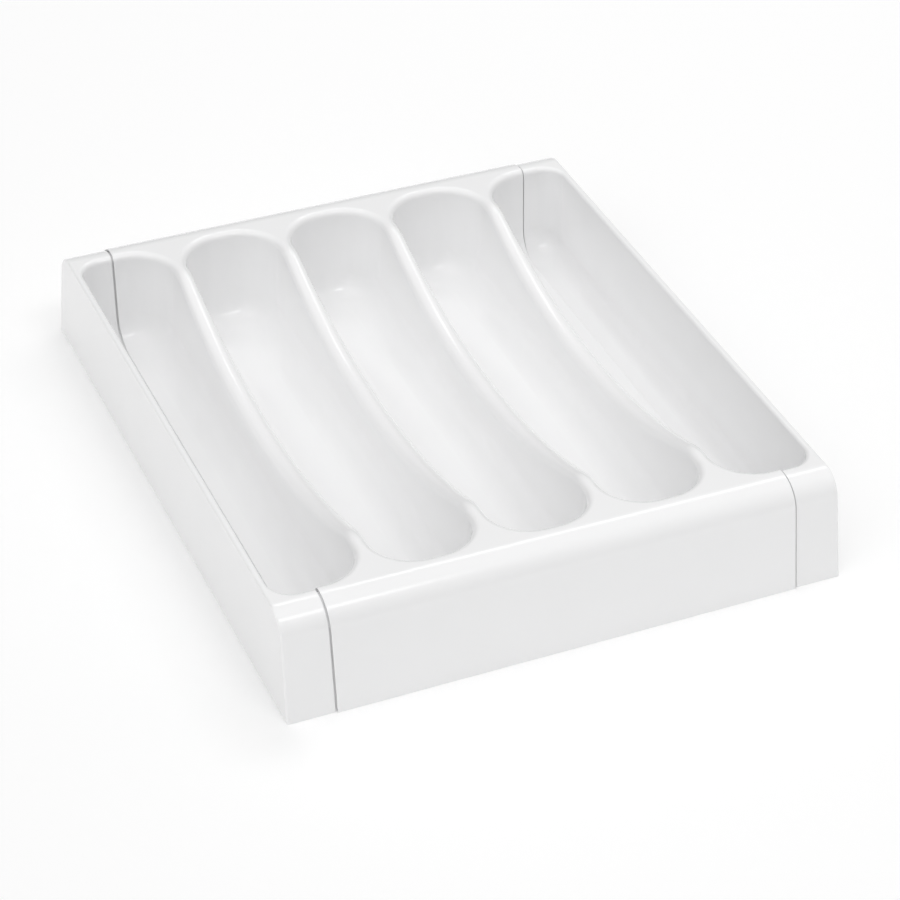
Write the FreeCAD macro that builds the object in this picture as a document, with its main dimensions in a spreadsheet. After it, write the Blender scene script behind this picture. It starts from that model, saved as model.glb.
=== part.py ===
import FreeCAD, Part
import math
import os
import Sketcher

# An expanding drawer tray: a centre tray with three whole compartments and two half ones,
# and two wings that slide out sideways from under it.  All three are thin moulded shells.
# The front of the tray faces -Y, its width runs along X, and it stands on the plane z = 0.
# Each shell is a solid with its underside cored out.  Outer solid and core come from the
# same function and differ only in their inset: how far their skin lies below the top skin
# of the centre tray.  So the wings nest under the centre tray with an even gap.  Only the
# visible end of a wing stands higher, nearly flush with the centre tray.

SIZES = (
    ("closed_width", 320.0, "overall width with both wings in"),
    ("tray_depth", 391.0, "front to back at the foot of the centre tray"),
    ("tray_height", 61.2, "foot to rim of the centre tray"),
    ("seam_reach", 132.6, "middle of the tray to each end of the centre tray"),
    ("shell", 1.8, "wall thickness"),
    ("sliding_gap", 0.3, "air between the centre tray and a wing under it"),
    ("wing_step", 0.8, "how far the visible end of a wing lies below the centre tray's skin"),
    ("seam_gap", 0.8, "gap that shows between the centre tray and the visible end of a wing"),
    ("front_draft", 10.0, "lean of the front and back walls, degrees"),
    ("side_draft", 1.1, "lean of the outer side walls, degrees"),
    ("pocket_draft", 4.0, "lean of the compartment walls, degrees"),
    ("flank_draft", 1.0, "lean of the inside of the side walls, degrees"),
    ("front_round", 17.0, "radius along the top of the front and back walls"),
    ("pocket_pitch", 66.0, "compartment to compartment"),
    ("pocket_width", 57.6, "whole compartment at the rim"),
    ("pocket_length", 330.0, "every compartment at the rim"),
    ("pocket_floor", 5.0, "height of the compartment floors"),
    ("pocket_corner", 24.0, "compartment corners, seen from above"),
    ("floor_round", 16.0, "radius between compartment walls and floor"),
    ("edge_round", 4.0, "radius of the compartment edges"),
    ("saddle_dip", 24.7, "how far the divider crests dip at mid depth"),
    ("saddle_reach", 132.0, "mid depth to each end of the dip"),
    ("saddle_blend", 30.0, "radius where the dip meets the rim"),
    ("side_top", 4.0, "thickness at the top of the outer side walls"),
    ("side_wall", 2.8, "thickness of the side walls beside the cored underside"),
    ("wing_edge_round", 1.9, "radius of the edges of the wing compartments"),
    ("side_edge", 1.5, "radius round the rim of the outer side walls"),
    ("wing_corner", 13.0, "outer corners of the wing compartments"),
    ("wing_floor_round", 12.0, "radius between wing walls and wing floor"),
    ("wing_gap", 10.0, "between the two wings, hidden under the middle"),
    ("travel", 100.0, "how far each wing slides out"),
    ("stop_length", 6.0, "length of a travel stop along X"),
    ("stop_low", 6.0, "bottom of a travel stop"),
    ("stop_high", 14.0, "top of a travel stop"),
    ("stop_proud", 1.0, "how far a stop stands out of the wing wall"),
    ("groove_depth", 1.0, "depth of the groove that a stop runs in"),
    ("end_gap", 0.3, "air round a stop in its groove"),
)
FOOT = "5.0"            # how far cores run below the foot
PAST_END = "2"          # how far cores run past the open ends
PAST_SIDE = "10"        # how far the wing cores start outside the side walls
PAST_RIM = "3"          # how far cutters run above the rim
PAST_MOUTH = "20"       # how far cutters run out of the open ends
NO_INSET = "0.0"
SHELL_INSET = "(Sizes.shell)"
WING_INSET = "(Sizes.shell + Sizes.sliding_gap)"
WING_CORE_INSET = "(2 * Sizes.shell + Sizes.sliding_gap)"
END_INSET = "(Sizes.wing_step)"
END_CORE_INSET = "(Sizes.wing_step + Sizes.shell)"
WING_REACH = "(-Sizes.wing_gap / 2)"
END_REACH = "(-Sizes.seam_reach - Sizes.seam_gap)"
NEAR = 0.01             # two places this close are the same
CLEAR = 1.0             # edges this far inside a limit are surely inside
ALONG = 0.99            # an edge this close to an axis runs along it
UPRIGHT = 0.9           # a drafted corner edge is at least this upright
ON_SLOPE = 0.6          # an edge round a rim is at most this upright
CORNER_KEEP = 10.0      # edges across a divider end this far inside a compartment's length

doc = FreeCAD.newDocument("drawer_tray")
sheet = doc.addObject("Spreadsheet::Sheet", "Sizes")
for row, (alias, size, meaning) in enumerate(SIZES, start=1):
    sheet.set("A%d" % row, str(size))
    sheet.setAlias("A%d" % row, alias)
    sheet.set("B%d" % row, meaning)
doc.recompute()


def value(expression):
    """The number that an expression on the sheet gives."""
    return float(sheet.evalExpression(expression))


def origin_plane(body, role):
    return next(item for item in body.Origin.OriginFeatures if item.Role == role)


def wedge(body, kind, name, low, high):
    """A block whose bottom and top are two rectangles: (z, x from, x to, y from, y to)."""
    item = body.newObject("PartDesign::%sWedge" % kind, name)
    item.AttachmentSupport = [(origin_plane(body, "XZ_Plane"), "")]
    item.MapMode = "FlatFace"
    sizes = {
        "Ymin": low[0], "Xmin": low[1], "Xmax": low[2],
        "Zmin": "-(%s)" % low[4], "Zmax": "-(%s)" % low[3],
        "Ymax": high[0], "X2min": high[1], "X2max": high[2],
        "Z2min": "-(%s)" % high[4], "Z2max": "-(%s)" % high[3],
    }
    for name_of_size, expression in sizes.items():
        item.setExpression(name_of_size, expression)
    doc.recompute()
    return item


def edges_of(shape, wanted):
    """Names of the edges whose middle point and direction pass a test."""
    names = []
    for number, edge in enumerate(shape.Edges, start=1):
        middle = (edge.FirstParameter + edge.LastParameter) / 2
        if wanted(edge.valueAt(middle), edge.tangentAt(middle)):
            names.append("Edge%d" % number)
    return names


def fillet(body, name, wanted, radius):
    """Round the picked edges of the body's last feature."""
    base = body.Tip
    names = edges_of(base.Shape, wanted)
    if not names:
        raise RuntimeError(name + " found no edge")
    item = body.newObject("PartDesign::Fillet", name)
    item.Base = (base, names)
    item.setExpression("Radius", radius)
    doc.recompute()
    if item.Shape.isNull() or not item.Shape.isValid():
        raise RuntimeError(name + " failed")
    return item


def half_depth(height, inset):
    """Middle of the tray to its drafted front wall, at a height."""
    return "(Sizes.tray_depth / 2 - (%s) * tan(Sizes.front_draft) - %s / cos(Sizes.front_draft))" % (
        height, inset)


def half_pocket(half_size, height, inset):
    """Middle of a compartment to its drafted wall, at a height."""
    return "(%s - (Sizes.tray_height - (%s)) * tan(Sizes.pocket_draft) + %s / cos(Sizes.pocket_draft))" % (
        half_size, height, inset)


def rim(inset):
    return "(Sizes.tray_height - %s)" % inset


def floor(inset):
    return "(Sizes.pocket_floor - %s)" % inset


def block_edges(top, depth):
    """Test for the two long edges along the top of the front and back walls."""
    def wanted(point, direction):
        return abs(direction.x) > ALONG and abs(point.z - top) < NEAR and abs(abs(point.y) - depth) < NEAR
    return wanted


def compartment(body, name, inset, x_low, x_high):
    """A drafted pocket; x_low and x_high give its two ends at a height."""
    half_length = lambda height: half_pocket("Sizes.pocket_length / 2", height, inset)
    over = "(Sizes.tray_height + %s)" % PAST_RIM
    levels = []
    for height in (floor(inset), over):
        reach = half_length(height)
        levels.append((height, x_low(height), x_high(height), "-" + reach, reach))
    return wedge(body, "Subtractive", name, *levels)


def centre_solid(name, inset, past_ends, foot):
    """The centre tray without its hollow underside, with its skin lowered by inset."""
    body = doc.addObject("PartDesign::Body", name)
    end = "(Sizes.seam_reach + %s)" % past_ends
    low = half_depth("-" + foot, inset)
    high = half_depth(rim(inset), inset)
    wedge(body, "Additive", name + "_block",
          ("-" + foot, "-" + end, end, "-" + low, low), (rim(inset), "-" + end, end, "-" + high, high))
    top = value(rim(inset))
    fillet(body, name + "_front_round", block_edges(top, value(high)), "Sizes.front_round - " + inset)

    # the crests of the dividers dip along one wide arc
    arc = "((Sizes.saddle_reach ^ 2 + Sizes.saddle_dip ^ 2) / (2 * Sizes.saddle_dip))"
    sketch = body.newObject("Sketcher::SketchObject", name + "_saddle_sketch")
    sketch.AttachmentSupport = [(origin_plane(body, "YZ_Plane"), "")]
    sketch.MapMode = "FlatFace"
    arc_centre = "(Sizes.tray_height - Sizes.saddle_dip + %s)" % arc
    centre = FreeCAD.Vector(0, value(arc_centre), 0)
    sketch.addGeometry(Part.Circle(centre, FreeCAD.Vector(0, 0, 1), value(arc)))
    sketch.addConstraint(Sketcher.Constraint("PointOnObject", 0, 3, -2))
    sketch.setExpression("Constraints[%d]" % sketch.addConstraint(
        Sketcher.Constraint("DistanceY", -1, 1, 0, 3, centre.y)), arc_centre)
    sketch.setExpression("Constraints[%d]" % sketch.addConstraint(
        Sketcher.Constraint("Radius", 0, value(arc))), "%s + %s" % (arc, inset))
    saddle = body.newObject("PartDesign::Pocket", name + "_saddle")
    saddle.Profile = sketch
    saddle.Type = "Length"
    saddle.Midplane = True
    saddle.setExpression("Length", "2 * %s + %s" % (end, PAST_END))
    doc.recompute()
    chord = math.sqrt(value("(%s + %s) ^ 2 - (%s - Sizes.saddle_dip + %s) ^ 2" % (arc, inset, arc, inset)))
    fillet(body, name + "_saddle_blend", block_edges(top, chord), "Sizes.saddle_blend - " + inset)

    # three whole compartments, and two that run out through the open ends
    half_width = lambda height: half_pocket("Sizes.pocket_width / 2", height, inset)
    past = "%s + %s" % (end, PAST_MOUTH)
    for number in range(-2, 3):
        middle = "%d * Sizes.pocket_pitch" % number
        near_side = lambda height: "%s - %s" % (middle, half_width(height))
        far_side = lambda height: "%s + %s" % (middle, half_width(height))
        if number == -2:
            near_side = lambda height: "-(%s)" % past
        if number == 2:
            far_side = lambda height: past
        compartment(body, "%s_compartment_%d" % (name, number + 3), inset, near_side, far_side)
    side = value(end)
    length = value("Sizes.pocket_length / 2 + " + inset)
    corners = lambda point, direction: (
        abs(direction.z) > UPRIGHT and abs(point.y) < length and abs(point.x) < side - CLEAR)
    fillet(body, name + "_corners", corners, "Sizes.pocket_corner + " + inset)
    bottom = value(floor(inset))
    at_floor = lambda point, direction: abs(point.z - bottom) < NEAR and abs(point.x) < side - NEAR
    fillet(body, name + "_floor_round", at_floor, "Sizes.floor_round + " + inset)
    lowest_crest = value("Sizes.tray_height - Sizes.saddle_dip - %s" % inset) - CLEAR

    def at_rim(point, direction):
        across_divider = abs(direction.x) > ALONG and abs(point.y) < length - CORNER_KEEP
        return (point.z > lowest_crest and abs(direction.z) < ON_SLOPE and abs(point.y) < length
                and abs(point.x) < side - NEAR and not across_divider)
    fillet(body, name + "_edge_round", at_rim, "Sizes.edge_round - " + inset)
    return body


def stop_strip(body, kind, name, side, ends, inset_out, inset_in, clear):
    """A strip along the inside of the front or back wall; side is -1 or 1 in Y."""
    levels = []
    for height in ("(Sizes.stop_low - %s)" % clear, "(Sizes.stop_high + %s)" % clear):
        outside = half_depth(height, inset_out)
        inside = half_depth(height, inset_in)
        near_y, far_y = ("-" + outside, "-" + inside) if side < 0 else (inside, outside)
        levels.append((height, ends[0], ends[1], near_y, far_y))
    return wedge(body, kind, name, *levels)


def wing_solid(name, inset, lift, foot, inner_end):
    """The left wing without its hollow underside; lift is its inset from the wing's own skin."""
    body = doc.addObject("PartDesign::Body", name)
    is_core = lift != NO_INSET
    low = half_depth("-" + foot, inset)
    high = half_depth(rim(inset), inset)
    outside = lambda height: "(-Sizes.closed_width / 2 + (%s) * tan(Sizes.side_draft))" % height
    past_side = "(-Sizes.closed_width / 2 - %s)" % PAST_SIDE
    outer = (lambda height: past_side) if is_core else outside
    wedge(body, "Additive", name + "_block",
          ("-" + foot, outer("-" + foot), inner_end, "-" + low, low),
          (rim(inset), outer(rim(inset)), inner_end, "-" + high, high))
    top = value(rim(inset))
    fillet(body, name + "_front_round", block_edges(top, value(high)), "Sizes.front_round - " + inset)

    flank_top = "(-Sizes.closed_width / 2 + Sizes.tray_height * tan(Sizes.side_draft) + Sizes.side_top)"
    flank = lambda height: "(%s + (Sizes.tray_height - (%s)) * tan(Sizes.flank_draft) - %s)" % (
        flank_top, height, lift)
    compartment(body, name + "_compartment", inset, flank,
                lambda height: "%s + %s" % (inner_end, PAST_MOUTH))
    length = value("Sizes.pocket_length / 2 + " + inset)
    side = value(inner_end)
    corners = lambda point, direction: (
        abs(direction.z) > UPRIGHT and abs(point.y) < length
        and value(outer("0")) + CLEAR < point.x < side - CLEAR)
    fillet(body, name + "_corners", corners, "Sizes.wing_corner + " + lift)
    bottom = value(floor(inset))
    at_floor = lambda point, direction: abs(point.z - bottom) < NEAR and point.x < side - NEAR
    fillet(body, name + "_floor_round", at_floor, "Sizes.wing_floor_round + " + lift)
    if is_core:
        levels = []
        for height in ("-%s - %s" % (foot, CLEAR), "Sizes.tray_height"):
            inside = outside(height) + " + Sizes.side_wall"
            beyond = "%s - %s" % (past_side, CLEAR)
            levels.append((height, beyond, inside, "-Sizes.tray_depth", "Sizes.tray_depth"))
        wedge(body, "Subtractive", name + "_side", *levels)
    else:
        side_rim = value(outer(rim(inset)))
        at_rim = lambda point, direction: (
            abs(point.z - top) < NEAR and abs(point.y) < length
            and side_rim + CLEAR < point.x < side - NEAR)
        fillet(body, name + "_edge_round", at_rim, "Sizes.wing_edge_round")
        on_side = lambda point, direction: (
            point.z > NEAR and abs(point.x - value(outer("%s" % point.z))) < NEAR)
        fillet(body, name + "_side_edge", on_side, "Sizes.side_edge")
    return body


def cut(name, base, tool):
    item = doc.addObject("Part::Cut", name)
    item.Base = base
    item.Tool = tool
    doc.recompute()
    return item


centre_outer = centre_solid("centre_outer", NO_INSET, "0", "0")
centre_core = centre_solid("centre_core", SHELL_INSET, PAST_END, FOOT)
wing_outer = wing_solid("wing_outer", WING_INSET, NO_INSET, "0", WING_REACH)
wing_core = wing_solid("wing_core", WING_CORE_INSET, SHELL_INSET, FOOT, "(%s + %s)" % (WING_REACH, PAST_END))
end_outer = wing_solid("end_outer", END_INSET, NO_INSET, "0", END_REACH)
end_core = wing_solid("end_core", END_CORE_INSET, SHELL_INSET, FOOT, "(%s - Sizes.shell)" % END_REACH)

# Travel stops: a small block at the hidden end of each wing wall runs in a shallow groove
# inside the centre tray's wall, and meets the groove's end when the wing is fully out.
stop_end = "-Sizes.wing_gap / 2"
stop_start = stop_end + " - Sizes.stop_length"
groove_reach = "(Sizes.wing_gap / 2 + Sizes.stop_length + Sizes.travel + Sizes.end_gap)"
for side, wall in ((-1, "front"), (1, "back")):
    stop_strip(wing_outer, "Additive", wall + "_stop", side, (stop_start, stop_end),
               "(%s - Sizes.stop_proud)" % WING_INSET, "(%s + Sizes.shell / 2)" % WING_INSET, "0")
    stop_strip(centre_core, "Additive", wall + "_groove", side, ("-" + groove_reach, groove_reach),
               "(%s - Sizes.groove_depth)" % SHELL_INSET, "(%s + 1)" % SHELL_INSET, "Sizes.end_gap")

centre_tray = cut("centre_tray", centre_outer, centre_core)
wing_skin = doc.addObject("Part::MultiFuse", "wing_skin")
wing_skin.Shapes = [wing_outer, end_outer]
wing_hollow = doc.addObject("Part::MultiFuse", "wing_hollow")
wing_hollow.Shapes = [wing_core, end_core]
doc.recompute()
left_wing = cut("left_wing", wing_skin, wing_hollow)
right_wing = doc.addObject("Part::Mirroring", "right_wing")
right_wing.Source = left_wing
right_wing.Normal = FreeCAD.Vector(1, 0, 0)
doc.recompute()

for item in doc.Objects:
    if "Invalid" in item.State or "Error" in item.State:
        raise RuntimeError("%s did not recompute" % item.Name)
os.makedirs("parts", exist_ok=True)
for node in (centre_tray, left_wing, right_wing):
    shape = node.Shape
    if shape.isNull() or not shape.isValid() or len(shape.Solids) != 1:
        raise RuntimeError("%s is not one valid solid" % node.Label)
    shape.exportStep("parts/%s.step" % node.Label)
    box = shape.BoundBox
    print(node.Label, "volume %.0f mm3, X %.1f..%.1f, Y %.1f..%.1f, Z %.1f..%.1f" % (
        shape.Volume, box.XMin, box.XMax, box.YMin, box.YMax, box.ZMin, box.ZMax))
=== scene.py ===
"""Looks for an expanding drawer tray: a centre tray and two wings that slide out from under it."""

import math

import bmesh
import bpy
import numpy as np
from bpy.props import FloatProperty, FloatVectorProperty, PointerProperty
from mathutils import Matrix, Vector


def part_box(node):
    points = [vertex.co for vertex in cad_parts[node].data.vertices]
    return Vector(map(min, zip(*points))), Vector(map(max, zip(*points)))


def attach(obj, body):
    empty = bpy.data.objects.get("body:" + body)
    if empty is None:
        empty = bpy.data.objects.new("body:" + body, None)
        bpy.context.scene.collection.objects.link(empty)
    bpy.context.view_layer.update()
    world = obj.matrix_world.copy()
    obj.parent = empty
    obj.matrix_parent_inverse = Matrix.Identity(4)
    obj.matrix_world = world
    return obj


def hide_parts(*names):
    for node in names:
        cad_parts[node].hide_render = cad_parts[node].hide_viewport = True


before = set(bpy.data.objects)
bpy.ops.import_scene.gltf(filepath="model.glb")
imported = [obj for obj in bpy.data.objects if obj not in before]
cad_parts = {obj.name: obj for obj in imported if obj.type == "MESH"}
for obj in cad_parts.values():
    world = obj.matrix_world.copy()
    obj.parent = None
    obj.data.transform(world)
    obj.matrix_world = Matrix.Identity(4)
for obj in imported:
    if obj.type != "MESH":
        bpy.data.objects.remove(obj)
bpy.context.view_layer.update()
CENTRE_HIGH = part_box("centre_tray")[1]
WING_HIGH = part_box("right_wing")[1]

bl_info = {
    "name": "Drawer tray",
    "version": (1, 0, 0),
    "blender": (4, 5, 0),
    "location": "3D View > Sidebar > Drawer Tray",
    "description": "Builds an expanding drawer tray of three moulded shells",
    "category": "Add Mesh",
}

PLASTIC_NAME = "white_moulded_plastic"
FLOOR_NAME = "studio_floor"
SHELL_NAMES = {"centre": "centre_tray_shell", "left": "left_wing_shell", "right": "right_wing_shell"}

WELD = 1e-7
MERGE = 10 * WELD
HALF_TURNED = 1 - math.sqrt(0.5)  # how far a quarter round of radius 1 has come in, half way round it


# ---------------------------------------------------------------- settings


def length(name, description, default):
    return FloatProperty(
        name=name, description=description, default=default, min=0, unit="LENGTH", precision=5)


def angle(name, description, degrees):
    return FloatProperty(
        name=name, description=description, default=math.radians(degrees), unit="ROTATION", precision=4)


def number(name, description, default):
    return FloatProperty(name=name, description=description, default=default, min=0, precision=4)


def colour(name, description, default):
    return FloatVectorProperty(
        name=name, description=description, default=default, size=3, min=0, max=1, subtype="COLOR")


class TrayShape(bpy.types.PropertyGroup):
    """Sizes of the three shells."""

    seam: length("Seam", "Middle of the tray to each open end of the centre tray", CENTRE_HIGH.x)
    foot: length("Foot", "Middle of the tray to the foot of the front wall", CENTRE_HIGH.y)
    height: length("Height", "Foot to rim of the centre tray", CENTRE_HIGH.z)
    side: length("Side", "Middle of the tray to the foot of a closed wing's side wall", WING_HIGH.x)
    shell: length("Shell", "Wall thickness", 0.0018)
    gap: length("Gap", "Air between the centre tray and a wing", 0.0003)
    seam_gap: length("Seam gap", "Gap between the centre tray and the raised end of a wing", 0.0008)
    seam_undercut: length("Seam undercut", "How far the centre tray's cut edge slopes in below", 0.003)
    end_step: length("End step", "How far a wing's raised end lies below the centre tray's skin", 0.0008)
    front_lean: angle("Front lean", "Lean of the front and back walls", 10)
    front_round: length("Front round", "Radius along the top of the front and back walls", 0.017)
    side_lean: angle("Side lean", "Lean of the outer side walls", 1.1)
    side_edge: length("Side edge", "Radius of the outer edges of the side walls", 0.0015)
    side_top: length("Side top", "Thickness at the top of the side walls", 0.004)
    flank_lean: angle("Flank lean", "Lean of the inside of the side walls", 1)
    flank_edge: length("Flank edge", "Radius of the inner edge of the side walls", 0.0019)
    flank_floor: length("Flank floor", "Radius between a side wall and the wing floor", 0.011)
    pitch: length("Pitch", "Compartment to compartment", 0.066)
    pocket_width: length("Compartment width", "Whole compartment at the rim", 0.0576)
    pocket_length: length("Compartment length", "Every compartment at the rim", 0.33)
    pocket_lean: angle("Compartment lean", "Lean of the compartment walls", 4)
    pocket_corner: length("Compartment corner", "Corner radius at the rim, from above", 0.0245)
    floor: length("Floor", "Height of the compartment floors", 0.005)
    floor_round: length("Floor round", "Radius between compartment walls and floor", 0.017)
    crest_flat: length("Crest flat", "Flat left along the middle of a divider, each side", 0.0002)
    dip: length("Dip", "How far the divider crests dip at mid depth", 0.0247)
    dip_reach: length("Dip reach", "Mid depth to each end of the dip", 0.132)
    dip_blend: length("Dip blend", "Radius where the dip meets the rim", 0.03)
    wing_corner: length("Wing corner", "Corner radius of the wing compartments at the rim", 0.013)
    wing_end: length("Wing end", "Middle of the tray to the hidden end of a wing", 0.005)
    bevel: length("Bevel", "Rounding of the cut edges", 0.0003)


class TrayFinish(bpy.types.PropertyGroup):
    """Colour and finish of the plastic."""

    tint: colour("Colour", "Colour of the plastic", (0.95, 0.95, 0.953))
    roughness: number("Roughness", "Middle roughness of the moulded skin", 0.15)
    roughness_spread: number("Roughness spread", "How far the roughness wanders", 0.06)
    mottle: number("Mottle", "How far the colour wanders", 0.012)
    cloud_scale: number("Cloud scale", "Spots of wandering colour to a metre", 22)
    ripple: length("Ripple", "Height of the long waves in the skin", 0.00003)
    ripple_scale: number("Ripple scale", "Long waves to a metre", 38)
    grain: length("Grain", "Height of the fine grain of the skin", 0.000004)
    grain_scale: number("Grain scale", "Grains to a metre", 900)


class TrayStage(bpy.types.PropertyGroup):
    """Floor, light and camera."""

    floor_tint: colour("Floor colour", "Colour of the floor", (0.96, 0.96, 0.96))
    floor_lift: number("Floor lift", "Light that the floor gives of itself", 0.075)
    floor_reach: length("Floor reach", "Middle of the tray to each edge of the floor", 8)
    glow_above: number("Glow above", "Strength of the soft light from straight above", 0.27)
    glow_left: number("Glow left", "Strength of the soft light from the upper left", 0.71)
    glow_right: number("Glow right", "Strength of the soft light from the upper right", 1.0)
    glow_front: number("Glow front", "Strength of the soft light from above the front left corner", 1.05)
    key: number("Key light", "Power of the strip light above and behind, in watts", 5)
    fill: number("Front light", "Power of the softbox above and in front, in watts", 4.4)
    light_distance: length("Light distance", "Middle of the tray to each softbox", 2.2)
    lens: number("Lens", "Focal length in millimetres", 115.326)
    distance: length("Distance", "Camera to the middle of the tray", 1.65481)
    azimuth: angle("Azimuth", "Camera position round the tray", -23.8833)
    elevation: angle("Elevation", "Camera height above the horizon", 36.3565)
    roll: angle("Roll", "Turn of the camera about its own line of sight", 1.0814)


# ---------------------------------------------------------------- outlines and profiles


def tangent_reach(lean):
    """How far a rounding of radius 1 reaches in from the top of a wall that leans by this angle."""
    return math.cos(lean) - (1 - math.sin(lean)) * math.tan(lean)


def spaced(start, stop, steps):
    return np.linspace(start, stop, steps + 1)


class Samples:
    """Points round a rounded outline, kept apart from its size, so that every ring has the same points.

    A point lies at base + along * (arc centre) + normal * (arc radius), once for x and once for y.
    """

    def __init__(self):
        self.rows = []

    def add(self, base_share, along_x, along_y, normal_x, normal_y):
        self.rows.append((base_share, along_x, along_y, normal_x, normal_y))

    def done(self):
        table = np.array(self.rows)
        self.base_share, self.along_x, self.along_y, self.normal_x, self.normal_y = table.T
        return self

    def ring(self, base, open_x, reach_x, reach_y, radius, height):
        """Points of one ring. base is the outline's middle in x, open_x the end of an open outline."""
        centre_x = reach_x - radius
        centre_y = reach_y - radius
        x = base + self.base_share * (open_x - base) + self.along_x * centre_x + self.normal_x * radius
        y = self.along_y * centre_y + self.normal_y * radius
        return np.stack([x, y, np.broadcast_to(height, x.shape)], axis=1)

    def to_rectangle(self, base, open_x, centre_x, centre_y, half_x, half_y, height):
        """Points carried out along their normals on to a rectangle round the outline."""
        with np.errstate(divide="ignore"):
            over_x = (half_x - centre_x) / np.abs(self.normal_x)
            over_y = (half_y - centre_y) / np.abs(self.normal_y)
        carry = np.minimum(over_x, over_y)
        x = base + self.base_share * (open_x - base) + self.along_x * centre_x + self.normal_x * carry
        y = self.along_y * centre_y + self.normal_y * carry
        return np.stack([x, y, np.broadcast_to(height, x.shape)], axis=1)


def corner_angles(middle, steps):
    """Angles of a quarter turn, one of which is the angle that points at the outer corner."""
    return np.concatenate([spaced(0, middle, steps)[:-1], spaced(middle, math.pi / 2, steps)])


def open_outline(side_shares, corner_middle, corner_steps, end_steps, direction):
    """Samples from the open end along the front, round two corners and back along the back.

    direction is 1 if the closed side faces +X and -1 if it faces -X. Also gives the corner samples.
    """
    samples = Samples()
    turn = corner_angles(corner_middle, corner_steps)
    for share in spaced(1, 0, end_steps)[:-1]:
        samples.add(share, direction * (1 - share), -1, 0, -1)
    first = len(samples.rows) + corner_steps
    for a in turn[::-1]:
        samples.add(0, direction, -1, direction * math.cos(a), -math.sin(a))
    for share in side_shares[1:-1]:
        samples.add(0, direction, share, direction, 0)
    second = len(samples.rows) + corner_steps
    for a in turn:
        samples.add(0, direction, 1, direction * math.cos(a), math.sin(a))
    for share in spaced(0, 1, end_steps)[1:]:
        samples.add(share, direction * (1 - share), 1, 0, 1)
    return samples.done(), first, second


def closed_outline(side_shares, corner_middle, corner_steps, end_steps):
    """Samples once round a whole compartment, from one corner's middle. Also gives the corner samples."""
    samples = Samples()
    turn = corner_angles(corner_middle, corner_steps)
    late = turn[: corner_steps + 1][::-1]
    early = turn[corner_steps:]
    corners = [0]
    for a in late[:-1]:
        samples.add(0, 1, -1, math.cos(a), -math.sin(a))
    for share in side_shares:
        samples.add(0, 1, share, 1, 0)
    for a in late[::-1][1:-1]:
        samples.add(0, 1, 1, math.cos(a), math.sin(a))
    corners.append(len(samples.rows))
    for a in early[:-1]:
        samples.add(0, 1, 1, math.cos(a), math.sin(a))
    for share in spaced(1, -1, end_steps):
        samples.add(0, share, 1, 0, 1)
    for a in early[::-1][1:-1]:
        samples.add(0, -1, 1, -math.cos(a), math.sin(a))
    corners.append(len(samples.rows))
    for a in late[:-1]:
        samples.add(0, -1, 1, -math.cos(a), math.sin(a))
    for share in side_shares[::-1]:
        samples.add(0, -1, share, -1, 0)
    for a in late[::-1][1:-1]:
        samples.add(0, -1, -1, -math.cos(a), -math.sin(a))
    corners.append(len(samples.rows))
    for a in early[:-1]:
        samples.add(0, -1, -1, -math.cos(a), -math.sin(a))
    for share in spaced(-1, 1, end_steps):
        samples.add(0, share, -1, 0, -1)
    for a in early[::-1][1:-1]:
        samples.add(0, 1, -1, math.cos(a), -math.sin(a))
    return samples.done(), corners


def pocket_profile(top, edge, floor, floor_radius, lean, wall_reach, steps):
    """Reach inwards and height at every row down a wall: edge rounding, wall, floor rounding.

    top and edge may be arrays, one value for each sample; wall_reach(height) is the leaning wall.
    """
    edge_steps, wall_steps, floor_steps = steps
    reach_of_one = tangent_reach(lean)
    rows = []
    middle = wall_reach(top) - reach_of_one * edge
    for a in spaced(0, math.pi / 2 - lean, edge_steps):
        rows.append((middle + edge * math.sin(a), top - edge * (1 - math.cos(a))))
    foot_height = floor + floor_radius * (1 - math.sin(lean))
    foot_reach = wall_reach(foot_height)
    middle = foot_reach + floor_radius * math.cos(lean)
    last_reach, last_height = rows[-1]
    for share in spaced(0, 1, wall_steps)[1:-1]:
        rows.append((last_reach + share * (foot_reach - last_reach),
                     last_height + share * (foot_height - last_height)))
    for a in spaced(math.pi / 2 - lean, 0, floor_steps):
        rows.append((middle - floor_radius * math.sin(a), floor + floor_radius * (1 - math.cos(a))))
    return rows


# ---------------------------------------------------------------- patches of faces


class Skin:
    """Grids of points that are welded into one sheet. The faces are the same at every inset."""

    def __init__(self):
        self.points = []
        self.faces = []
        self.count = 0

    def grid(self, rows, closed=False):
        """Rows of points, with faces between neighbours. Returns the numbers of the points."""
        rows = np.asarray(rows, float)
        numbers = np.arange(rows.shape[0] * rows.shape[1]).reshape(rows.shape[:2]) + self.count
        self.points.append(rows.reshape(-1, 3))
        self.count += numbers.size
        along = np.concatenate([numbers, numbers[:, :1]], axis=1) if closed else numbers
        quads = np.stack([along[:-1, :-1], along[:-1, 1:], along[1:, 1:], along[1:, :-1]], axis=-1)
        self.faces.extend(quads.reshape(-1, 4).tolist())
        return numbers

    def all_points(self):
        return np.concatenate(self.points)


def spread(line):
    """Shares from 0 to 1 along a line of values."""
    return (line - line[0]) / (line[-1] - line[0])


def fill_between(side_a, side_b, end_a, end_b):
    """Grid of points between four edges. The sides run the same way, and the ends from side a to b."""
    v = spread(side_a[:, 1])[:, None, None]
    u = spread(end_a[:, 0])[None, :, None]
    across = (1 - u) * side_a[:, None] + u * side_b[:, None]
    along = (1 - v) * end_a[None] + v * end_b[None]
    first = (1 - u) * side_a[0] + u * side_b[0]
    last = (1 - u) * side_a[-1] + u * side_b[-1]
    return across + along - ((1 - v) * first + v * last)


def open_mouth(last, first, second):
    """Points along the open end of a ring's floor, as many as its closed side has."""
    share = spread(last[first:second + 1, 1])[:, None]
    return last[0] + share * (last[-1] - last[0])


def fill_open(skin, last, first, second):
    """The floor inside an open outline, out to its open end."""
    side = last[first:second + 1]
    near = last[:first + 1][::-1]
    skin.grid(fill_between(side, open_mouth(last, first, second), near, last[second:]))


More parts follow.
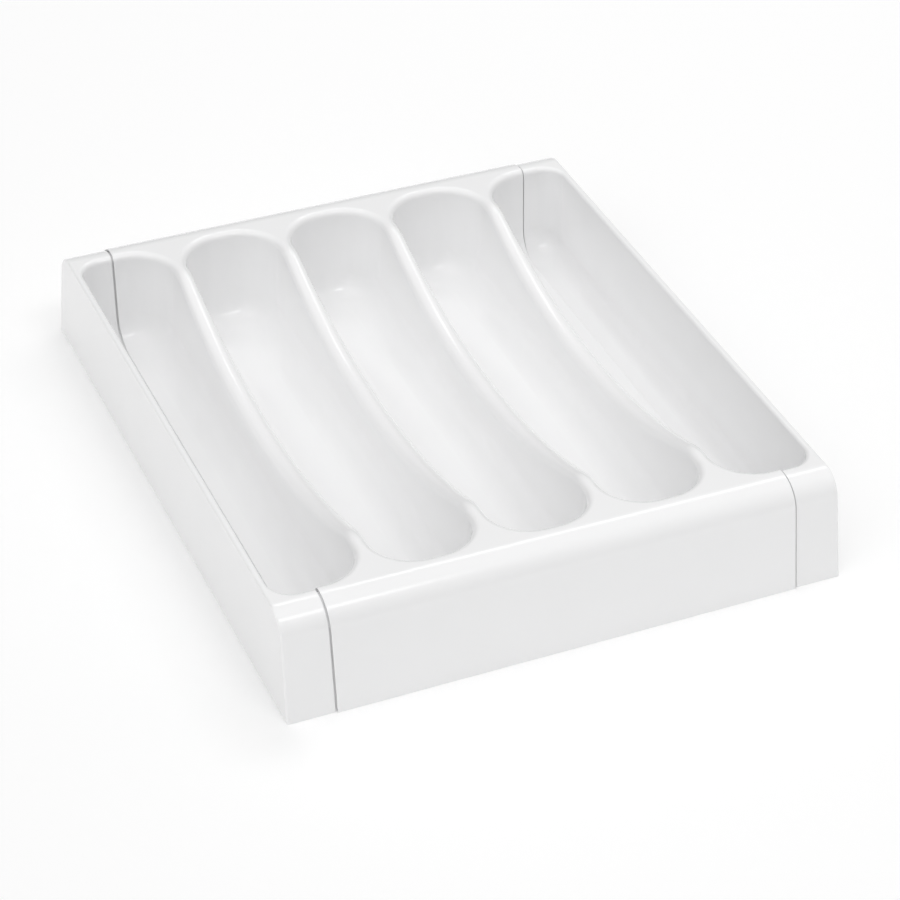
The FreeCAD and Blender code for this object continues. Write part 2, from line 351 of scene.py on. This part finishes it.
# ---------------------------------------------------------------- the centre tray


CREST_STEPS = 9
WALL_STEPS = 5
FLOOR_STEPS = 11
POCKET_STEPS = (CREST_STEPS, WALL_STEPS, FLOOR_STEPS)
CORNER_STEPS = 8
END_STEPS = 4
FRONT_ROUND_STEPS = 14
FRONT_WALL_STEPS = 5
DIP_STEPS = 22
BLEND_STEPS = 9
POCKET_CORNER_SHARE = 0.9  # how much of a wall's reach its corner radius loses on the way down


def front_profile(shape, inset, retreat):
    """Reach from the middle and height down the front wall, from the rim to the foot."""
    lean = shape.front_lean
    top = shape.height - inset
    radius = shape.front_round - inset
    wall = lambda height: shape.foot - height * math.tan(lean) - inset / math.cos(lean)
    middle = wall(top) - tangent_reach(lean) * radius
    rows = [(middle + radius * math.sin(a), top - radius * (1 - math.cos(a)))
            for a in spaced(0, math.pi / 2 - lean, FRONT_ROUND_STEPS)]
    for height in spaced(rows[-1][1], retreat, FRONT_WALL_STEPS)[1:]:
        rows.append((wall(height), height))
    return rows


def crest_height(shape, y, inset):
    """Height along a divider's crest: one wide dip, blended into the rim at both ends."""
    dip_radius = (shape.dip_reach ** 2 + shape.dip ** 2) / (2 * shape.dip)
    dip_centre = shape.height - shape.dip + dip_radius
    between = dip_radius + shape.dip_blend
    blend_y = math.sqrt(between ** 2 - (dip_centre - shape.height + shape.dip_blend) ** 2)
    touch_y = blend_y * (dip_radius + inset) / between
    y = np.abs(y)
    blend = shape.dip_blend - inset
    rim = shape.height - inset
    low = dip_centre - np.sqrt((dip_radius + inset) ** 2 - np.minimum(y, touch_y) ** 2)
    high = rim - blend + np.sqrt(np.maximum(blend ** 2 - np.minimum(y - blend_y, 0) ** 2, 0))
    return np.where(y < touch_y, low, np.where(y < blend_y, high, rim))


def crest_samples(shape):
    """Distances from mid depth, one way, close together where the crest bends most."""
    dip_radius = (shape.dip_reach ** 2 + shape.dip ** 2) / (2 * shape.dip)
    between = dip_radius + shape.dip_blend
    blend_y = math.sqrt(between ** 2 - (dip_radius - shape.dip + shape.dip_blend) ** 2)
    touch_y = blend_y * dip_radius / between
    half_depth = shape.pocket_length / 2 - shape.pocket_corner
    far = np.concatenate([
        spaced(0, touch_y, DIP_STEPS)[:-1], spaced(touch_y, blend_y, BLEND_STEPS), [half_depth]])
    return np.concatenate([-far[:0:-1], far])


def centre_skin(shape, inset, retreat):
    """The centre tray's skin, lowered by inset, with its cut edges drawn back by retreat."""
    skin = Skin()
    lean = shape.pocket_lean
    seam = shape.seam - retreat - shape.seam_undercut * max(inset - shape.bevel, 0) / shape.shell
    half_width = shape.pocket_width / 2
    half_length = shape.pocket_length / 2
    corner = shape.pocket_corner
    shares = crest_samples(shape) / (half_length - corner)
    arc_x = half_width - corner
    arc_y = half_length - corner
    front = front_profile(shape, inset, retreat)
    half_front = front[0][0]
    half_cell = shape.pitch / 2
    middle_angle = math.atan2(half_front - arc_y, half_cell - arc_x)
    lift = inset / math.cos(lean)
    wall = lambda height: (shape.height - height) * math.tan(lean) - lift
    bar_half = half_cell - half_width

    def rings(samples, base):
        open_x = math.copysign(seam, base)
        y = samples.along_y * arc_y
        full_top = crest_height(shape, y, 0)
        top = crest_height(shape, y, inset)
        depth = (shape.height - full_top) * math.tan(lean)
        edge = (bar_half + depth - shape.crest_flat) / tangent_reach(lean) - inset
        rows = pocket_profile(
            top, edge, shape.floor - inset, shape.floor_round + inset, lean, wall, POCKET_STEPS)
        grid = [samples.to_rectangle(base, open_x, arc_x, arc_y, half_cell, half_front, top)]
        for row, (reach, height) in enumerate(rows):
            past = reach + lift
            lost = np.where((past < 0) | (row <= CREST_STEPS), past, POCKET_CORNER_SHARE * past)
            grid.append(samples.ring(
                base, open_x, half_width - reach, half_length - reach, corner + lift - lost, height))
        return grid

    whole, corners = closed_outline(shares, middle_angle, CORNER_STEPS, END_STEPS)
    rim_x = []
    for cell in (-1, 0, 1):
        grid = rings(whole, cell * shape.pitch)
        skin.grid(grid, closed=True)
        rim_x.extend(p[0] for p in grid[0] if p[1] < 0 and abs(p[1] + half_front) < WELD)
        last = grid[-1]
        right = last[corners[0]:corners[1] + 1]
        back = last[corners[1]:corners[2] + 1][::-1]
        left = last[corners[2]:corners[3] + 1][::-1]
        near = np.concatenate([last[corners[3]:], last[:1]])
        skin.grid(fill_between(left, right, near, back))
    for direction in (-1, 1):
        half, first, second = open_outline(shares, middle_angle, CORNER_STEPS, END_STEPS, direction)
        grid = rings(half, -direction * 2 * shape.pitch)
        skin.grid(grid)
        rim_x.extend(p[0] for p in grid[0] if p[1] < 0 and abs(p[1] + half_front) < WELD)
        fill_open(skin, grid[-1], first, second)
    rim_x = np.array(sorted(rim_x))
    rim_x = rim_x[np.concatenate([[True], np.diff(rim_x) > WELD])]
    for side in (-1, 1):
        skin.grid([[(x, side * reach, height) for x in rim_x] for reach, height in front])
    return skin


# ---------------------------------------------------------------- the wings


WING_CORNER_STEPS = 7
WING_FRONT_STEPS = 4
WING_SIDE_STEPS = 24
WING_SLIDE_STEPS = 10
WING_CORNER_SHARE = 0.35  # how much of a wall's reach its corner radius loses on the way down
SMALL = 0.00005


def wing_rings(shape, nested, inset, retreat, open_x):
    """Rings of the right wing: up from the foot, over the rim, down to the floor, out to open_x.

    nested is how far the wing's own skin lies below the centre tray's, and inset is measured from it.
    The floor is one level all the way, so that it slides under the centre tray's.
    """
    total = nested + inset
    top = shape.height - total
    floor = shape.floor - shape.shell - shape.gap - inset
    rim_y = shape.pocket_length / 2 + nested / math.cos(shape.pocket_lean)
    rim_x = shape.side - shape.height * math.tan(shape.side_lean) - shape.side_top
    side_edge = max(shape.side_edge - inset, SMALL)
    side_foot = shape.side - inset / math.cos(shape.side_lean)
    side_wall = lambda height: side_foot - height * math.tan(shape.side_lean)
    edge_low = top - side_edge * (1 - math.sin(shape.side_lean))
    edge_middle = side_wall(edge_low) - side_edge * math.cos(shape.side_lean)

    def side_reach(height):
        if height >= edge_low:
            over = height - (top - side_edge)
            return edge_middle + math.sqrt(max(side_edge ** 2 - over ** 2, 0))
        return side_wall(height)

    samples, first, second = open_outline(
        spaced(-1, 1, WING_SIDE_STEPS), math.pi / 4, WING_CORNER_STEPS, WING_FRONT_STEPS, 1)
    grid = []
    for reach_y, height in front_profile(shape, total, retreat)[::-1]:
        grid.append(samples.ring(0, open_x, side_reach(height), reach_y, side_edge, height))

    def rows_for(lean, edge, floor_radius):
        wall = lambda height: (shape.height - height) * math.tan(lean) - inset / math.cos(lean)
        return pocket_profile(top, edge, floor, floor_radius + inset, lean, wall, POCKET_STEPS)

    bar_half = (shape.pitch - shape.pocket_width) / 2
    front_edge = (bar_half - shape.crest_flat) / tangent_reach(shape.pocket_lean) - total
    front_rows = rows_for(shape.pocket_lean, max(front_edge, SMALL), shape.floor_round + nested)
    side_rows = rows_for(shape.flank_lean, max(shape.flank_edge - inset, SMALL), shape.flank_floor)
    toward_front = samples.normal_y ** 2
    corner = shape.wing_corner
    for (reach_y, height_y), (reach_x, height_x) in zip(front_rows, side_rows):
        mean = (reach_x + reach_y) / 2 + inset
        radius = corner + inset - (mean if mean < 0 else WING_CORNER_SHARE * mean)
        height = height_x + toward_front * (height_y - height_x)
        grid.append(samples.ring(0, open_x, rim_x - reach_x, rim_y - reach_y, radius, height))
    return grid, first, second


def wing_section(grid, first, second):
    """The outline of the open end, from the foot of the front wall over the floor to the back foot."""
    near = [ring[0] for ring in grid]
    back = [ring[-1] for ring in grid]
    mouth = open_mouth(grid[-1], first, second)[1:-1]
    return np.concatenate([near, mouth, back[::-1]])


def wing_skin(shape, inset, retreat):
    """The right wing's skin: a raised end that shows, a step, and the part under the centre tray."""
    skin = Skin()
    nested = shape.shell + shape.gap
    step_x = shape.seam + shape.seam_gap + inset
    edge = shape.bevel
    part = edge * HALF_TURNED
    raised = shape.end_step
    grid, first, second = wing_rings(shape, raised, inset, retreat, step_x + edge)
    skin.grid(grid)
    fill_open(skin, grid[-1], first, second)
    stations = [(raised, step_x + edge), (raised + part, step_x + part), (raised + edge, step_x),
                (nested - edge, step_x), (nested - part, step_x - part)]
    for x in spaced(step_x - edge, shape.wing_end + retreat, WING_SLIDE_STEPS):
        stations.append((nested, x))
    skin.grid([wing_section(*wing_rings(shape, depth, inset, retreat, x)) for depth, x in stations])
    return skin


# ---------------------------------------------------------------- shells from skins


def shell_mesh(name, make_skin, shape):
    """A closed shell: an outer and an inner skin, joined round their cut edges by small bevels."""
    bevel = shape.bevel
    thick = shape.shell
    half_way = bevel * HALF_TURNED
    layers = [(0, bevel), (half_way, half_way), (bevel, 0),
              (thick - bevel, 0), (thick - half_way, half_way), (thick, bevel)]
    skins = [make_skin(shape, inset, retreat) for inset, retreat in layers]
    rounded = np.round(skins[0].all_points() / MERGE).astype(np.int64)
    _, keep, number = np.unique(rounded, axis=0, return_index=True, return_inverse=True)
    number = number.ravel()
    faces = [tuple(dict.fromkeys(number[i] for i in face)) for face in skins[0].faces]
    faces = [face for face in faces if len(face) > 2]
    used = {}
    for face in faces:
        for a, b in zip(face, face[1:] + face[:1]):
            used[(min(a, b), max(a, b))] = used.get((min(a, b), max(a, b)), 0) + 1
    rim_edges = [edge for edge, times in used.items() if times == 1]
    rim_points = sorted({p for edge in rim_edges for p in edge})
    place = {p: i for i, p in enumerate(rim_points)}
    count = len(keep)
    points = [skins[0].all_points()[keep], skins[-1].all_points()[keep]]
    for skin in skins[1:-1]:
        points.append(skin.all_points()[keep][rim_points])
    last_layer = len(layers) - 1

    def at(layer, p):
        if layer == 0:
            return p
        if layer == last_layer:
            return count + p
        return 2 * count + (layer - 1) * len(rim_points) + place[p]

    all_faces = faces + [tuple(count + i for i in face[::-1]) for face in faces]
    for a, b in rim_edges:
        for layer in range(last_layer):
            all_faces.append((at(layer, a), at(layer, b), at(layer + 1, b), at(layer + 1, a)))
    mesh = bpy.data.meshes.new(name)
    mesh.from_pydata(np.concatenate(points).tolist(), [], all_faces)
    mesh.validate()
    work = bmesh.new()
    work.from_mesh(mesh)
    bmesh.ops.recalc_face_normals(work, faces=work.faces)
    open_edges = [e for e in work.edges if len(e.link_faces) != 2]
    if open_edges:
        raise RuntimeError("%s has %d open edges" % (name, len(open_edges)))
    work.to_mesh(mesh)
    work.free()
    mesh.shade_smooth()
    return mesh


def add_piece(name, mesh, body, node, material):
    """An object for a mesh that rides on a body and stands for a CAD node."""
    piece = bpy.data.objects.new(name, mesh)
    bpy.context.scene.collection.objects.link(piece)
    mesh.materials.append(material)
    even = piece.modifiers.new("even_normals", "WEIGHTED_NORMAL")
    even.mode = "FACE_AREA"
    even.weight = 50
    even.keep_sharp = True
    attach(piece, body)
    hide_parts(node)
    return piece


# ---------------------------------------------------------------- materials


class Value:
    """A node socket that can be used in sums."""

    def __init__(self, shader, socket):
        self.shader = shader
        self.socket = socket

    def math(self, operation, first, second):
        return self.shader.node("ShaderNodeMath", {"operation": operation}, {0: first, 1: second}).out(0)

    def __add__(self, other):
        return self.math("ADD", self, other)

    def __radd__(self, other):
        return self.math("ADD", other, self)

    def __sub__(self, other):
        return self.math("SUBTRACT", self, other)

    def __rsub__(self, other):
        return self.math("SUBTRACT", other, self)

    def __mul__(self, other):
        return self.math("MULTIPLY", self, other)

    def __rmul__(self, other):
        return self.math("MULTIPLY", other, self)


class Node:
    def __init__(self, shader, node):
        self.shader = shader
        self.node = node

    def out(self, key):
        return Value(self.shader, self.node.outputs[key])


class Shader:
    """A node tree, with one method for every kind of node."""

    def __init__(self, owner, output):
        self.owner = owner
        self.output = output
        owner.use_nodes = True
        self.tree = owner.node_tree
        self.tree.nodes.clear()

    def node(self, kind, settings=None, values=None):
        node = self.tree.nodes.new(kind)
        for key, setting in (settings or {}).items():
            setattr(node, key, setting)
        for key, given in (values or {}).items():
            if isinstance(given, Value):
                self.tree.links.new(given.socket, node.inputs[key])
            else:
                node.inputs[key].default_value = given
        return Node(self, node)

    def finish(self, surface):
        self.node(self.output, None, {"Surface": surface})
        return self.owner


def material_shader(name):
    return Shader(bpy.data.materials.new(name), "ShaderNodeOutputMaterial")


def noise(shader, place, scale, detail, roughness):
    return shader.node("ShaderNodeTexNoise", None, {
        "Vector": place, "Scale": scale, "Detail": detail, "Roughness": roughness}).out(0)


def bumps(shader, height, distance, **under):
    """Normals of a bumpy skin. under may hold the Normal of a skin that the bumps lie on."""
    return shader.node("ShaderNodeBump", None, {
        "Strength": 1, "Distance": distance, "Height": height, **under}).out("Normal")


def moulded_plastic(finish):
    """Glossy white moulded plastic: a faint wandering tone, long shallow waves and a fine grain."""
    shader = material_shader(PLASTIC_NAME)
    place = shader.node("ShaderNodeTexCoord").out("Object")
    cloud = noise(shader, place, finish.cloud_scale, 2, 0.5)
    wave = noise(shader, place, finish.ripple_scale, 1, 0.4)
    grain = noise(shader, place, finish.grain_scale, 2, 0.6)
    light = tuple(c * (1 + finish.mottle) for c in finish.tint)
    dark = tuple(c * (1 - finish.mottle) for c in finish.tint)
    tone = shader.node("ShaderNodeMix", {"data_type": "RGBA"}, {
        "Factor": cloud, 6: (*dark, 1), 7: (*light, 1)})
    spread_of = lambda value: (value - 0.5) * finish.roughness_spread
    rough = finish.roughness + spread_of(cloud) + spread_of(grain)
    skin = bumps(shader, grain, finish.grain, Normal=bumps(shader, wave, finish.ripple))
    surface = shader.node("ShaderNodeBsdfPrincipled", None, {
        "Base Color": tone.out(2), "Roughness": rough, "Normal": skin, "IOR": 1.49}).out(0)
    return shader.finish(surface)


def floor_finish(stage):
    """A pale matt floor without shine, which glows a little so that it comes out even."""
    shader = material_shader(FLOOR_NAME)
    surface = shader.node("ShaderNodeBsdfPrincipled", None, {
        "Base Color": (*stage.floor_tint, 1), "Roughness": 0.9, "Specular IOR Level": 0.0,
        "Emission Color": (1, 1, 1, 1), "Emission Strength": stage.floor_lift}).out(0)
    return shader.finish(surface)


# ---------------------------------------------------------------- operators


def plastic():
    """The one plastic of all three shells, made when it is first asked for."""
    return bpy.data.materials.get(PLASTIC_NAME) or moulded_plastic(bpy.context.scene.tray_finish)


class TRAY_OT_centre(bpy.types.Operator):
    """Build the centre tray, with three whole compartments and two half ones"""

    bl_idname = "drawer_tray.centre"
    bl_label = "Centre Tray"

    def execute(self, context):
        name = SHELL_NAMES["centre"]
        mesh = shell_mesh(name, centre_skin, context.scene.tray_shape)
        add_piece(name, mesh, "centre", "centre_tray", plastic())
        return {"FINISHED"}


class TRAY_OT_wings(bpy.types.Operator):
    """Build the two wings that slide out from under the centre tray"""

    bl_idname = "drawer_tray.wings"
    bl_label = "Wings"

    def execute(self, context):
        right = shell_mesh(SHELL_NAMES["right"], wing_skin, context.scene.tray_shape)
        left = right.copy()
        left.name = SHELL_NAMES["left"]
        left.transform(Matrix.Diagonal((-1, 1, 1, 1)))
        left.flip_normals()
        add_piece(SHELL_NAMES["right"], right, "right", "right_wing", plastic())
        add_piece(SHELL_NAMES["left"], left, "left", "left_wing", plastic())
        return {"FINISHED"}


class TRAY_OT_stage(bpy.types.Operator):
    """Lay the floor and set the lights and the camera"""

    bl_idname = "drawer_tray.stage"
    bl_label = "Stage"

    def execute(self, context):
        scene = context.scene
        stage = scene.tray_stage
        lay_floor(stage)
        light_stage(scene, stage)
        place_camera(scene, stage)
        return {"FINISHED"}


# ---------------------------------------------------------------- floor, lights and camera


def lay_floor(stage):
    reach = stage.floor_reach
    mesh = bpy.data.meshes.new(FLOOR_NAME)
    corners = [(-reach, -reach, 0), (reach, -reach, 0), (reach, reach, 0), (-reach, reach, 0)]
    mesh.from_pydata(corners, [], [(0, 1, 2, 3)])
    floor = bpy.data.objects.new(FLOOR_NAME, mesh)
    bpy.context.scene.collection.objects.link(floor)
    mesh.materials.append(floor_finish(stage))


def add_softbox(name, power, size, place):
    """A rectangular area light that faces the middle of the tray."""
    data = bpy.data.lights.new(name, "AREA")
    data.shape = "RECTANGLE"
    data.size, data.size_y = size
    data.energy = power
    light = bpy.data.objects.new(name, data)
    bpy.context.scene.collection.objects.link(light)
    light.location = place
    light.rotation_mode = "QUATERNION"
    light.rotation_quaternion = (-place).to_track_quat("-Z", "Y")


def soft_glow(shader, parts, toward, strength):
    """Light of the surround that is strongest in one direction and fades smoothly to all sides."""
    x, y, z = Vector(toward).normalized()
    facing = parts.out(0) * x + parts.out(1) * y + parts.out(2) * z
    share = shader.node("ShaderNodeMath", {"operation": "MAXIMUM"}, {0: facing, 1: 0.0}).out(0)
    squared = share * share
    return squared * squared * strength


def light_stage(scene, stage):
    """Four soft glows in the surround, and two softboxes for the shine."""
    glows = (
        ((0, 0, 1), stage.glow_above),
        ((-1, 0, 1), stage.glow_left),
        ((1, 0, 1), stage.glow_right),
        ((-1, -1, 2), stage.glow_front))
    softboxes = (
        ("strip_softbox", stage.key, (1.4, 0.3), (0.33, 0.45, 0.83)),
        ("front_softbox", stage.fill, (0.9, 0.36), (0.06, -0.5, 0.86)))
    shader = Shader(bpy.data.worlds.new("studio_surround"), "ShaderNodeOutputWorld")
    way = shader.node("ShaderNodeTexCoord").out("Generated")
    parts = shader.node("ShaderNodeSeparateXYZ", None, {0: way})
    strength = sum((soft_glow(shader, parts, toward, glow) for toward, glow in glows), start=0)
    scene.world = shader.finish(
        shader.node("ShaderNodeBackground", None, {"Color": (1, 1, 1, 1), "Strength": strength}).out(0))
    scene.view_settings.view_transform = "Standard"
    for name, power, size, toward in softboxes:
        add_softbox(name, power, size, Vector(toward).normalized() * stage.light_distance)


def place_camera(scene, stage):
    """The camera looks past the aim, a point near the middle of the tray, by off_right and off_up."""
    aim = Vector((0, -0.0023, 0))
    off_right = 0.011438
    off_up = -0.001701
    back = Vector((
        math.sin(stage.azimuth) * math.cos(stage.elevation),
        -math.cos(stage.azimuth) * math.cos(stage.elevation),
        math.sin(stage.elevation)))
    turn = (-back).to_track_quat("-Z", "Y").to_matrix() @ Matrix.Rotation(stage.roll, 3, "Z")
    right, up = turn.col[0], turn.col[1]
    data = bpy.data.cameras.new("camera")
    data.lens = stage.lens
    data.sensor_width = 36
    data.clip_start = 0.05
    data.clip_end = 50
    camera = bpy.data.objects.new("camera", data)
    scene.collection.objects.link(camera)
    camera.rotation_mode = "QUATERNION"
    camera.rotation_quaternion = turn.to_quaternion()
    camera.location = aim + back * stage.distance + right * off_right + up * off_up
    scene.camera = camera


class TRAY_PT_panel(bpy.types.Panel):
    """Lists the tray's parts"""

    bl_idname = "TRAY_PT_panel"
    bl_label = "Drawer Tray"
    bl_space_type = "VIEW_3D"
    bl_region_type = "UI"
    bl_category = "Drawer Tray"

    def draw(self, context):
        for operator in OPERATORS:
            self.layout.operator(operator.bl_idname)


SETTINGS = (TrayShape, TrayFinish, TrayStage)
OPERATORS = (TRAY_OT_centre, TRAY_OT_wings, TRAY_OT_stage)
CLASSES = SETTINGS + OPERATORS + (TRAY_PT_panel,)


def register():
    for item in CLASSES:
        bpy.utils.register_class(item)
    bpy.types.Scene.tray_shape = PointerProperty(type=TrayShape)
    bpy.types.Scene.tray_finish = PointerProperty(type=TrayFinish)
    bpy.types.Scene.tray_stage = PointerProperty(type=TrayStage)


def unregister():
    del bpy.types.Scene.tray_stage
    del bpy.types.Scene.tray_finish
    del bpy.types.Scene.tray_shape
    for item in reversed(CLASSES):
        bpy.utils.unregister_class(item)


def main():
    register()
    bpy.ops.drawer_tray.centre()
    bpy.ops.drawer_tray.wings()
    bpy.ops.drawer_tray.stage()


if __name__ == "__main__":
    main()
